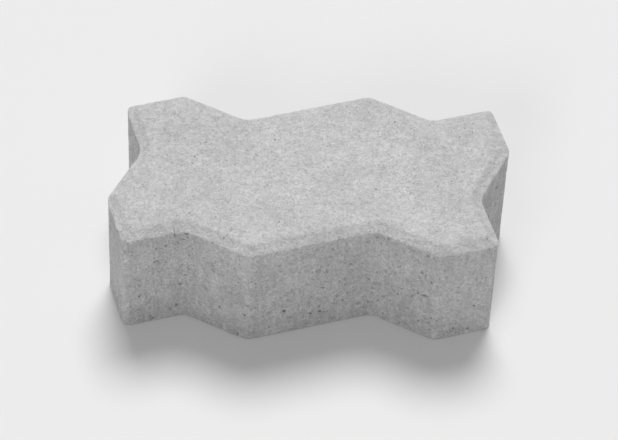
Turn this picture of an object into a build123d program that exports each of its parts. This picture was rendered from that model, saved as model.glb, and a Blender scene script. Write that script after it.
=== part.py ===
# Zigzag interlocking concrete paving stone, pressed in one piece.
#
# Every side follows one wave, which crests to the left and then to the right of its
# pitch line. The long sides hold two waves and the ends hold one, so stones laid side by
# side, end to end or turned a quarter all mesh along the same joint.
#
# Millimetres. +Z is up, X runs along the stone, and the origin is the middle of its bed.

import os

from build123d import *

# Laying pitch, from joint centre to joint centre
pitch_length = 225.0
pitch_width = 112.5
joint = 3.0

# Body
height = 80.0
wave_depth = 10.0
waves_on_long_side = 2
waves_on_end = 1

# Edges. The bends are measured on the joint's centre line, so that facing stones stay
# concentric, and each has to be rounder than the bevel is wide
bend_radius = 11.0
corner_radius = 5.0
bevel_width = 7.0
bevel_drop = 3.5


def wave(start, end, count):
    """Points from start to just before end, cresting left and then right of that line."""
    along = (end - start) / count
    left = along.normalized().rotate(Axis.Z, 90) * wave_depth
    points = []
    for number in range(count):
        foot = start + along * number
        points += [foot, foot + along / 3 + left, foot + along * 2 / 3 - left]
    return points


# Corners of the pitch rectangle, anticlockwise from the front left
half_length, half_width = pitch_length / 2, pitch_width / 2
front_left = Vector(-half_length, -half_width)
front_right = Vector(half_length, -half_width)
back_right = Vector(half_length, half_width)
back_left = Vector(-half_length, half_width)
corners = [front_left, front_right, back_right, back_left]

with BuildPart() as paving_stone:
    with BuildSketch() as plan:
        with BuildLine() as joint_centre:
            Polyline(
                *wave(front_left, front_right, waves_on_long_side),
                *wave(front_right, back_right, waves_on_end),
                *wave(back_right, back_left, waves_on_long_side),
                *wave(back_left, front_left, waves_on_end),
                close=True,
            )
        make_face()
        bends = [bend for bend in plan.vertices() if bend.center() not in corners]
        fillet(bends, radius=bend_radius)
        offset(amount=-joint / 2)
    extrude(amount=height)

    # Bevel all round the top, mitred at the four corners
    top = paving_stone.faces().sort_by(Axis.Z)[-1]
    chamfer(top.edges(), length=bevel_width, length2=bevel_drop, reference=top)

    # Each corner is rounded after that, so the round runs up through the bevel's mitre
    upright_edges = paving_stone.edges().filter_by(Axis.Z)
    corner_edges = [upright_edges.sort_by_distance(corner)[0] for corner in corners]
    fillet(corner_edges, radius=corner_radius)

os.makedirs("parts", exist_ok=True)
paving_stone.part.label = "paving_stone"
export_step(paving_stone.part, "parts/paving_stone.step")
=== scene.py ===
"""The looks of a zigzag concrete paving stone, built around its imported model."""

import cmath
import math

import bpy
import numpy as np
from mathutils import Matrix, Vector, noise


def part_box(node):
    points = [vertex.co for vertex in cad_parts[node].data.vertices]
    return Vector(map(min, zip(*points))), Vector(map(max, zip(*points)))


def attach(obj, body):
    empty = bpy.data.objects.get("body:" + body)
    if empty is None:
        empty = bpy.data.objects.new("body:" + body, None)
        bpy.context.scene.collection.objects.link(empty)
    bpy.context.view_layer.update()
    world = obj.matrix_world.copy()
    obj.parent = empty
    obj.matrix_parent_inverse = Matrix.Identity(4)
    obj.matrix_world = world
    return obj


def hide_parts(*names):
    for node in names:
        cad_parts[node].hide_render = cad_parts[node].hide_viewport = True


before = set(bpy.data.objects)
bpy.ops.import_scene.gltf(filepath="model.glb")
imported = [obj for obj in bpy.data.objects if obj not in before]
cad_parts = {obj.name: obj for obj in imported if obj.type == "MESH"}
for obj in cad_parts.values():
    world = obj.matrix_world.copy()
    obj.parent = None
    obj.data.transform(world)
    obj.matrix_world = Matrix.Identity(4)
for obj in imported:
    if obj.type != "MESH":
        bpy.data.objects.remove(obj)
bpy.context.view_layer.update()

# The paving stone
# Earth-damp concrete of cement and washed sand, pressed in one piece in a steel mould. The
# shoe leaves a flat sandy top with a bevel, the mould's zigzag walls drag the flanks a
# little open, and the bed prints off a pallet board.

mm = 0.001

pitch_length = 225 * mm
pitch_width = 112.5 * mm
joint = 3 * mm
wave_depth = 10 * mm
bend_radius = 11 * mm
corner_radius = 5 * mm
bevel_width = 7 * mm
bevel_drop = 3.5 * mm
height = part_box("paving_stone")[1].z

# The skin lies a hair inside the solid's faces, and all its roughness is cut inwards from there
skin_gap = 0.06 * mm
arris_round = 0.2 * mm
arris_inset = skin_gap + arris_round
# How soft the bevel's inner edge is to either side, as a share of the bevel's width
bevel_softness = 0.06
# How far chips reach in from an arris, and how soon after an edge the roughness has set in
chip_reach = 0.8 * mm
edge_reach = 1.2 * mm
# Distances between the skin's points, on the top and down the flanks
plan_spacing = 0.95 * mm
ring_spacing = 1.0 * mm


def wave(start, end, count):
    """Points from start to just before end, cresting left and then right of that line."""
    along = (end - start) / count
    left = along / abs(along) * 1j * wave_depth
    points = []
    for number in range(count):
        foot = start + along * number
        points += [foot, foot + along / 3 + left, foot + along * 2 / 3 - left]
    return points


def outline(inset, round_at_corners):
    """The flanks' outline, drawn in, as fine points x + y * 1j, and the corners' places in it."""
    front_left = complex(-pitch_length, -pitch_width) / 2
    front_right = complex(pitch_length, -pitch_width) / 2
    corners = [front_left, front_right, -front_left, -front_right]
    points = []
    for number, corner in enumerate(corners):
        waves = 2 if number % 2 == 0 else 1
        points += wave(corner, corners[(number + 1) % 4], waves)

    fine = []
    corner_places = []
    arc_steps = 12
    straight = 1e-6
    for number, point in enumerate(points):
        arriving = point - points[number - 1]
        leaving = points[(number + 1) % len(points)] - point
        arriving /= abs(arriving)
        leaving /= abs(leaving)
        turn = cmath.phase(leaving / arriving)
        if abs(turn) < straight:
            continue
        # The points lie on the centre line of the joint, and the flank half a joint inside it
        inward = 1j * (arriving + leaving) / (1 + (arriving * leaving.conjugate()).real)
        tip = point + inward * (joint / 2 + inset)
        side = math.copysign(1, turn)
        is_corner = point in corners
        radius = bend_radius - side * (joint / 2 + inset)
        if is_corner:
            radius = round_at_corners
        start = tip - arriving * radius * math.tan(abs(turn) / 2)
        centre = start + 1j * arriving * side * radius
        if is_corner:
            corner_places.append(len(fine) + arc_steps)
        for step in range(2 * arc_steps + 1):
            swing = cmath.exp(1j * turn * step / (2 * arc_steps))
            fine.append(centre + (start - centre) * swing)
    return np.array(fine), corner_places


def levels(length, spacing):
    """Places from 0 to length, closer together near both ends, where the arrises are."""
    by_edge = np.array([0, 0.15, 0.45, 1.0]) * mm
    count = round((length - 2 * by_edge[-1]) / spacing)
    middle = np.linspace(by_edge[-1], length - by_edge[-1], count + 1)
    return np.concatenate([by_edge[:-1], middle, (length - by_edge[:-1])[::-1]])


def side_points(fine, first, last, places):
    """Points along the outline from one corner to the next, at the given shares of its length."""
    if last <= first:
        last += len(fine)
    run = fine[np.arange(first, last + 1) % len(fine)]
    walked = np.concatenate([[0], np.cumsum(abs(np.diff(run)))])
    wanted = places * walked[-1]
    return np.interp(wanted, walked, run.real) + 1j * np.interp(wanted, walked, run.imag)


def plan_grid():
    """A grid of plan points that fills the outline, its rims on the four sides."""
    fine, corners = outline(arris_inset, corner_radius - arris_inset)
    along = levels(pitch_length, plan_spacing)
    across = levels(pitch_width, plan_spacing)
    u = along / pitch_length
    v = across / pitch_width
    front = side_points(fine, corners[0], corners[1], u)
    right = side_points(fine, corners[1], corners[2], v)
    back = side_points(fine, corners[2], corners[3], u)[::-1]
    left = side_points(fine, corners[3], corners[0], v)[::-1]

    # Between the rims, a blend of all four
    column = u[:, None]
    row = v[None, :]
    grid = (1 - row) * front[:, None] + row * back[:, None]
    grid += (1 - column) * left[None, :] + column * right[None, :]
    grid -= (1 - column) * (1 - row) * front[0] + column * (1 - row) * front[-1]
    grid -= (1 - column) * row * back[0] + column * row * back[-1]

    # Relaxed, as a stretched net would be, so that no cell is pinched at a rounded corner
    pull_along = 1 / np.diff(along)
    pull_across = 1 / np.diff(across)
    cell_along = (np.diff(along)[1:] + np.diff(along)[:-1])[:, None] / 2
    cell_across = (np.diff(across)[1:] + np.diff(across)[:-1])[None, :] / 2
    west = pull_along[:-1, None] / cell_along
    east = pull_along[1:, None] / cell_along
    south = pull_across[None, :-1] / cell_across
    north = pull_across[None, 1:] / cell_across
    total = west + east + south + north
    sweeps = 600
    for sweep in range(sweeps):
        pulled = west * grid[:-2, 1:-1] + east * grid[2:, 1:-1]
        pulled += south * grid[1:-1, :-2] + north * grid[1:-1, 2:]
        grid[1:-1, 1:-1] = pulled / total
    return grid


def distance_inside(points, fine):
    """Distance from each point to the nearest part of a closed outline."""
    nearest = np.full(points.shape, np.inf)
    no_length = 1e-9
    for start, end in zip(fine, np.roll(fine, -1)):
        edge = end - start
        if abs(edge) < no_length:
            continue
        share = ((points - start) * edge.conjugate()).real / abs(edge) ** 2
        gap = abs(points - start - edge * np.clip(share, 0, 1))
        nearest = np.minimum(nearest, gap)
    return nearest


# Cloudy noise has its origin away from the stone, because its octaves line up there as rays
far_origin = Vector((0.53, 0.37, 0.61))


def rough(point, size, octaves):
    """Cloudy noise from about 0 to 1, with features of the given size."""
    smoothness = 1.0
    finer_by = 2.0
    cloud = noise.fractal((point + far_origin) / size, smoothness, finer_by, octaves)
    return 0.5 + 0.5 * cloud


# Voids are ragged by a noise whose origin Blender draws anew at each start, unless it is given
# a seed
void_seed = 5
noise.seed_set(void_seed)


def void(point, spacing, widest, share):
    """Depth from 0 to 1 of ragged voids, in a share of cells of about this spacing."""
    raggedness = 0.35
    ragged = point + noise.noise_vector(point / widest * 2) * widest * raggedness
    nearest, centres = noise.voronoi(ragged / spacing)
    # Each cell draws a number from 0 to 1, and the scatter sets neighbours' numbers apart
    scatter = 37.3
    pick = 0.5 + 0.5 * noise.cell(centres[0] * scatter)
    if pick >= share:
        return 0.0
    radius = widest / spacing / 2 * math.sqrt(1 - pick / share)
    return max(0.0, 1 - (nearest[0] / radius) ** 2)


def top_relief(point):
    """How far the pressed top lies under the shoe's face: swell, sand and a few pinholes."""
    swell = 0.14 * mm * rough(point, 40 * mm, 2)
    sand = 0.26 * mm * rough(point, 2.8 * mm, 2)
    pinholes = 0.6 * mm * void(point, 8 * mm, 2.6 * mm, 0.5)
    return swell + sand + pinholes


def flank_relief(point):
    """How far the flank lies behind the mould wall: drag marks, crumbs, voids and pores."""
    longer_by = 8
    dragged = Vector((point.x, point.y, point.z / longer_by))
    marks = 0.25 * mm * rough(dragged, 3 * mm, 2)
    # Where the concrete is more open it has coarser crumbs, and more voids and pores
    openness = rough(point, 26 * mm, 2)
    crumbs = (0.15 + 0.35 * openness) * mm * rough(point, 2.4 * mm, 3)
    voids = 1.5 * mm * void(point, 10 * mm, 5 * mm, 0.7 * openness)
    pores = 1.0 * mm * void(point, 4.5 * mm, 3.2 * mm, 0.9 * openness)
    return marks + crumbs + voids + pores


def bed_relief(point):
    """How far the bed lies above the pallet board: coarse sand and open voids."""
    sand = 0.35 * mm * rough(point, 4.5 * mm, 3)
    voids = 1.2 * mm * void(point, 9 * mm, 7 * mm, 0.8)
    return sand + voids


def arris_chips(point):
    """How much has crumbled off an arris: a little everywhere, and more here and there."""
    crumbs = 0.3 * mm * rough(point, 2 * mm, 2)
    chipped_above = 0.62
    chips = 3 * mm * max(0.0, rough(point, 5 * mm, 3) - chipped_above)
    return crumbs + chips


# The top, whose bevel falls away over the last few millimetres, from a soft inner edge
grid = plan_grid()
columns, rows = grid.shape
bevel_outline, _ = outline(0, 0)
ramp = 1 - distance_inside(grid, bevel_outline) / bevel_width
blend = (ramp + bevel_softness) ** 2 / (4 * bevel_softness)
bevel = np.where(ramp > bevel_softness, ramp, np.where(ramp < -bevel_softness, 0, blend))
bevel *= bevel_drop

# The rim of the grid, walked anticlockwise
rim_places = [(i, 0) for i in range(columns - 1)]
rim_places += [(columns - 1, j) for j in range(rows - 1)]
rim_places += [(i, rows - 1) for i in range(columns - 1, 0, -1)]
rim_places += [(0, j) for j in range(rows - 1, 0, -1)]
rim = np.array([grid[place] for place in rim_places])
rim_inward = 1j * (np.roll(rim, -1) - np.roll(rim, 1))
rim_inward /= abs(rim_inward)
from_rim = distance_inside(grid, rim)

points = []
top_number = {}
for i in range(columns):
    for j in range(rows):
        place = grid[i, j]
        spot = Vector((place.real, place.imag, height))
        fall = math.exp(-from_rim[i, j] / arris_round)
        drop = skin_gap + bevel[i, j] + arris_round * fall + top_relief(spot)
        drop += arris_chips(spot) * math.exp(-from_rim[i, j] / chip_reach)
        top_number[i, j] = len(points)
        points.append([place.real, place.imag, height - drop])

# Rings of points down the flank, from the arris to the bed. Near both edges the mould has
# left the flank whole, and the bed's own edge has crumbled half as far again as the arris.
bed_crumbles_by = 1.5
ring_shares = levels(height - bevel_drop, ring_spacing) / (height - bevel_drop)
rings = [[top_number[place] for place in rim_places]]
arris_height = [points[number][2] for number in rings[0]]
for share in ring_shares[1:]:
    ring = []
    for place, inward, arris in zip(rim, rim_inward, arris_height):
        foot = skin_gap + bed_crumbles_by * arris_chips(Vector((place.real, place.imag, 0)))
        z = arris * (1 - share) + foot * share
        spot = Vector((place.real, place.imag, z))
        to_edge = min(arris - z, z - foot)
        inset = skin_gap + flank_relief(spot) * (1 - math.exp(-to_edge / edge_reach))
        inset += arris_round * math.exp(-to_edge / arris_round)
        moved = place + inward * (inset - arris_inset)
        ring.append(len(points))
        points.append([moved.real, moved.imag, z])
    rings.append(ring)

# The bed is half as fine as the top, but its rim takes in every point of the last ring
bed_columns = list(range(0, columns - 1, 2)) + [columns - 1]
bed_rows = list(range(0, rows - 1, 2)) + [rows - 1]
bed_number = dict(zip(rim_places, rings[-1]))
for i in bed_columns[1:-1]:
    for j in bed_rows[1:-1]:
        place = grid[i, j]
        spot = Vector((place.real, place.imag, 0))
        open_share = 1 - math.exp(-from_rim[i, j] / edge_reach)
        bed_number[i, j] = len(points)
        points.append([place.real, place.imag, skin_gap + bed_relief(spot) * open_share])

# The faces of the top, the flanks and the bed, all turned outwards
faces = []
for i in range(columns - 1):
    for j in range(rows - 1):
        cell = [(i, j), (i + 1, j), (i + 1, j + 1), (i, j + 1)]
        faces.append([top_number[place] for place in cell])
for upper, lower in zip(rings, rings[1:]):
    for number in range(len(rim)):
        beside = (number + 1) % len(rim)
        faces.append([upper[number], lower[number], lower[beside], upper[beside]])
for west, east in zip(bed_columns, bed_columns[1:]):
    for south, north in zip(bed_rows, bed_rows[1:]):
        walk = [(i, south) for i in range(west, east)]
        walk += [(east, j) for j in range(south, north)]
        walk += [(i, north) for i in range(east, west, -1)]
        walk += [(west, j) for j in range(north, south, -1)]
        cell = [bed_number[place] for place in walk if place in bed_number]
        faces.append(cell[::-1])

mesh = bpy.data.meshes.new("paving_stone_skin")
mesh.from_pydata(points, [], faces)
mesh.validate()
mesh.polygons.foreach_set("use_smooth", [True] * len(mesh.polygons))
paving_stone_skin = bpy.data.objects.new("paving_stone_skin", mesh)
bpy.context.scene.collection.objects.link(paving_stone_skin)


def linear(hex_colour):
    """An sRGB hex colour as linear red, green, blue and alpha."""
    shares = [int(hex_colour[start:start + 2], 16) / 255 for start in (1, 3, 5)]
    return [s / 12.92 if s <= 0.04045 else ((s + 0.055) / 1.055) ** 2.4 for s in shares] + [1]


def node(tree, kind, settings, links):
    """Adds a node of a material, with its settings and what feeds its sockets."""
    added = tree.nodes.new(kind)
    for name, value in settings.items():
        if hasattr(added, str(name)):
            setattr(added, name, value)
        else:
            added.inputs[name].default_value = value
    for name, source in links.items():
        tree.links.new(source, added.inputs[name])
    return added


# Pressed concrete: grey cement paste round washed sand of up to 2 mm. Its skin is matt and
# neutral grey, softly clouded, with fine pale and dark grains and a few pinholes. The mould
# walls streak it upwards and leave open pores. Sand finer than 0.8 mm is drawn at that
# size, because the render loses it otherwise.
pressed_concrete = bpy.data.materials.new("pressed_concrete")
pressed_concrete.use_nodes = True
tree = pressed_concrete.node_tree
shader = tree.nodes["Principled BSDF"]
on_stone = node(tree, "ShaderNodeTexCoord", {}, {}).outputs["Object"]
place = node(tree, "ShaderNodeVectorMath", {"operation": "ADD", 1: far_origin}, {0: on_stone})
place = place.outputs["Vector"]
# The same place on a stone nine times as low, so that noise there is nine times as tall
drag = node(
    tree,
    "ShaderNodeVectorMath",
    {"operation": "MULTIPLY", 1: (1, 1, 1 / 9)},
    {0: place},
).outputs["Vector"]
# 0 on the top and its bevel, and 1 on all that the mould and the board have shaped
wall_top = height - bevel_drop - arris_round
changes_over = 0.3 * mm
upright = node(tree, "ShaderNodeSeparateXYZ", {}, {"Vector": on_stone})
on_wall = node(
    tree,
    "ShaderNodeMapRange",
    {"From Min": wall_top, "From Max": wall_top - changes_over},
    {"Value": upright.outputs["Z"]},
).outputs["Result"]

# What the concrete shows, each as noise of a real size: its octaves after the first, the two
# levels of the noise that it runs between, its tones there, how deep it is, and its strength
# on the top and beside the mould
showing = [
    # Moisture clouds
    (place, 70 * mm, 1, (0.3, 0.7), (0.965, 1.035), 0, 1.0, 1.0),
    (place, 24 * mm, 2, (0.3, 0.7), (0.96, 1.04), 0, 1.0, 1.0),
    # Uneven paste
    (place, 9 * mm, 3, (0.3, 0.7), (0.935, 1.065), 0, 1.0, 1.0),
    (place, 3.4 * mm, 2, (0.3, 0.7), (0.90, 1.10), 0, 1.0, 0.8),
    # Streaks that the mould wall has smeared upwards
    (drag, 3 * mm, 4, (0.3, 0.7), (0.92, 1.08), 0, 0.0, 1.0),
    # Coarse and fine sand, its darkest grains and its palest
    (place, 1.5 * mm, 2, (0.3, 0.7), (0.85, 1.15), 0.35 * mm, 0.8, 1.0),
    (place, 0.8 * mm, 1, (0.32, 0.68), (0.90, 1.10), 0.15 * mm, 0.8, 1.0),
    (place, 1.4 * mm, 1, (0.29, 0.32), (0.72, 1.0), 0.2 * mm, 0.8, 1.0),
    (place, 1.4 * mm, 1, (0.66, 0.69), (1.0, 1.34), 0.2 * mm, 0.8, 1.0),
    # Pinholes, and the open pores of the flanks and the bed, painted dark for the shade in them
    (place, 3.2 * mm, 2, (0.22, 0.27), (0.7, 1.0), 0.5 * mm, 1.0, 0.0),
    (place, 3.2 * mm, 2, (0.27, 0.31), (0.62, 1.0), 0.6 * mm, 0.0, 1.0),
    (place, 7 * mm, 2, (0.25, 0.30), (0.6, 1.0), 1.0 * mm, 0.0, 1.0),
]
shade = None
normal = None
for vector, size, detail, (low, high), (dark, pale), depth, on_top, beside_mould in showing:
    pattern = node(
        tree,
        "ShaderNodeTexNoise",
        {"Scale": 1 / size, "Detail": detail, "Roughness": 0.6},
        {"Vector": vector},
    )
    rise = node(
        tree,
        "ShaderNodeMapRange",
        {"From Min": low, "From Max": high},
        {"Value": pattern.outputs["Fac"]},
    ).outputs["Result"]
    tone = node(tree, "ShaderNodeMapRange", {"To Min": dark, "To Max": pale}, {"Value": rise})
    strength = node(
        tree,
        "ShaderNodeMapRange",
        {"To Min": on_top, "To Max": beside_mould},
        {"Value": on_wall},
    ).outputs["Result"]
    shown = node(
        tree,
        "ShaderNodeMix",
        {2: 1.0},
        {0: strength, 3: tone.outputs["Result"]},
    ).outputs[0]
    if shade is None:
        shade = shown
    else:
        both = node(tree, "ShaderNodeMath", {"operation": "MULTIPLY"}, {0: shade, 1: shown})
        shade = both.outputs["Value"]
    if depth:
        links = {"Height": rise, "Strength": strength}
        if normal is not None:
            links["Normal"] = normal
        bump = node(tree, "ShaderNodeBump", {"Distance": depth}, links)
        normal = bump.outputs["Normal"]

# Wear and painted shade, each kind with the level of its source at which it sets in, the level
# at which it is full, and its tone there. Hollows are darkened with painted shade and dust,
# crests are rubbed paler, and so is each side of the arris, by the height from it and a little
# unevenly. The bevel and the flanks get painted shade, a little darker than the flat of the top.
surface = node(tree, "ShaderNodeNewGeometry", {}, {})
above_arris = node(
    tree,
    "ShaderNodeMath",
    {"operation": "SUBTRACT", 1: wall_top},
    {0: upright.outputs["Z"]},
)
from_arris = node(
    tree,
    "ShaderNodeMath",
    {"operation": "ABSOLUTE"},
    {0: above_arris.outputs["Value"]},
)
wear_size = 8 * mm
wear_clouds = node(
    tree,
    "ShaderNodeTexNoise",
    {"Scale": 1 / wear_size, "Detail": 2},
    {"Vector": place},
)
uneven_by = 5 * mm
worn_from_arris = node(
    tree,
    "ShaderNodeMath",
    {"operation": "MULTIPLY_ADD", 1: uneven_by},
    {0: wear_clouds.outputs["Fac"], 2: from_arris.outputs["Value"]},
)
for source, start, full, tone in [
    # Painted shade and dust in the hollows
    (surface.outputs["Pointiness"], 0.5, 0.42, 0.7),
    (surface.outputs["Pointiness"], 0.53, 0.58, 1.12),
    (worn_from_arris.outputs["Value"], 4.6 * mm, 2.8 * mm, 1.07),
    # Painted shade on the bevel and all that lies lower than the flat of the top
    (upright.outputs["Z"], height - 0.45 * mm, height - 1.1 * mm, 0.955),
]:
    wear_and_shade = node(
        tree,
        "ShaderNodeMapRange",
        {"From Min": start, "From Max": full, "To Min": 1.0, "To Max": tone},
        {"Value": source},
    )
    both = node(
        tree,
        "ShaderNodeMath",
        {"operation": "MULTIPLY"},
        {0: shade, 1: wear_and_shade.outputs["Result"]},
    )
    shade = both.outputs["Value"]

# Cement grey. The palest concrete is rubbed, and so is a little less dull.
cement = node(
    tree,
    "ShaderNodeVectorMath",
    {"operation": "SCALE", 0: linear("#C6C6C6")[:3]},
    {"Scale": shade},
)
dullness = node(
    tree,
    "ShaderNodeMapRange",
    {"From Min": 0.7, "From Max": 1.2, "To Min": 0.96, "To Max": 0.84},
    {"Value": shade},
)
tree.links.new(cement.outputs["Vector"], shader.inputs["Base Color"])
tree.links.new(dullness.outputs["Result"], shader.inputs["Roughness"])
tree.links.new(normal, shader.inputs["Normal"])
shader.inputs["IOR"].default_value = 1.5

mesh.materials.append(pressed_concrete)
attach(paving_stone_skin, "root")
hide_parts("paving_stone")


# The floor
# A plain studio floor of board under matt pale paint, rolled on, so it is even and without
# gloss. It is large enough to fill the view from every side.

# Half the floor's width, in metres
half = 6
floor_corners = [(-half, -half, 0), (half, -half, 0), (half, half, 0), (-half, half, 0)]
floor_mesh = bpy.data.meshes.new("floor")
floor_mesh.from_pydata(floor_corners, [], [(0, 1, 2, 3)])
floor = bpy.data.objects.new("floor", floor_mesh)
bpy.context.scene.collection.objects.link(floor)
painted_board = bpy.data.materials.new("painted_board")
painted_board.use_nodes = True
floor_shader = painted_board.node_tree.nodes["Principled BSDF"]
floor_shader.inputs["Base Color"].default_value = linear("#ECECEC")
floor_shader.inputs["Roughness"].default_value = 0.9
floor_mesh.materials.append(painted_board)


# The light
# Soft studio light: a pale room, a wide soft box above and a little behind the stone, and a
# weak one low at the front left, which brings out the flanks. A wide sun stands for each
# box, so that the floor is lit evenly.

world = bpy.data.worlds.new("pale_room")
bpy.context.scene.world = world
world.use_nodes = True
room = world.node_tree
room_light = room.nodes["Background"]
room_light.inputs["Color"].default_value = linear("#FFFFFF")
# The room lights the stone at the first level. The camera sees it at the second, and so does
# any gloss or glass that mirrors it, so that it is as pale as the floor.
ray = node(room, "ShaderNodeLightPath", {}, {}).outputs
mirrored = node(
    room,
    "ShaderNodeMath",
    {"operation": "MAXIMUM"},
    {0: ray["Is Glossy Ray"], 1: ray["Is Transmission Ray"]},
)
seen = node(
    room,
    "ShaderNodeMath",
    {"operation": "MAXIMUM"},
    {0: ray["Is Camera Ray"], 1: mirrored.outputs["Value"]},
)
room_level = node(
    room,
    "ShaderNodeMapRange",
    {"To Min": 0.3, "To Max": 0.84},
    {"Value": seen.outputs["Value"]},
)
room.links.new(room_level.outputs["Result"], room_light.inputs["Strength"])

for name, direction, spread, strength in [
    ("overhead_box", (0.05, 0.54, 1.0), 26, 2.16),
    ("front_left_box", (-0.6, -1.5, 1.0), 20, 0.5),
]:
    box_light = bpy.data.lights.new(name, "SUN")
    box_light.angle = math.radians(spread)
    box_light.energy = strength
    lamp = bpy.data.objects.new(name, box_light)
    lamp.rotation_euler = Vector(direction).to_track_quat("Z", "Y").to_euler()
    bpy.context.scene.collection.objects.link(lamp)


# The camera
# It looks down on the stone at the photograph's angle, from as far away, through a longer
# lens, so that one stone fills the frame.

view_azimuth = math.radians(-3.26)
view_elevation = math.radians(48.92)
view_roll = math.radians(2.62)
view_distance = 1.95
# The width and the focal length of the photograph, both in its pixels
image_width = 618
photo_focal = 1853
closer_by = 1.75
sensor_width = 36

camera_data = bpy.data.cameras.new("camera")
camera_data.sensor_width = sensor_width
camera_data.lens = photo_focal * closer_by / image_width * sensor_width
camera = bpy.data.objects.new("camera", camera_data)
aim = Vector((0, -8 * mm, 45 * mm))
outlook = Vector((
    -math.sin(view_azimuth) * math.cos(view_elevation),
    math.cos(view_azimuth) * math.cos(view_elevation),
    -math.sin(view_elevation),
))
facing = outlook.to_track_quat("-Z", "Y").to_matrix().to_4x4()
camera.matrix_world = (
    Matrix.Translation(aim - outlook * view_distance) @ facing @ Matrix.Rotation(view_roll, 4, "Z")
)
bpy.context.scene.collection.objects.link(camera)
bpy.context.scene.camera = camera
bpy.context.scene.view_settings.view_transform = "Standard"
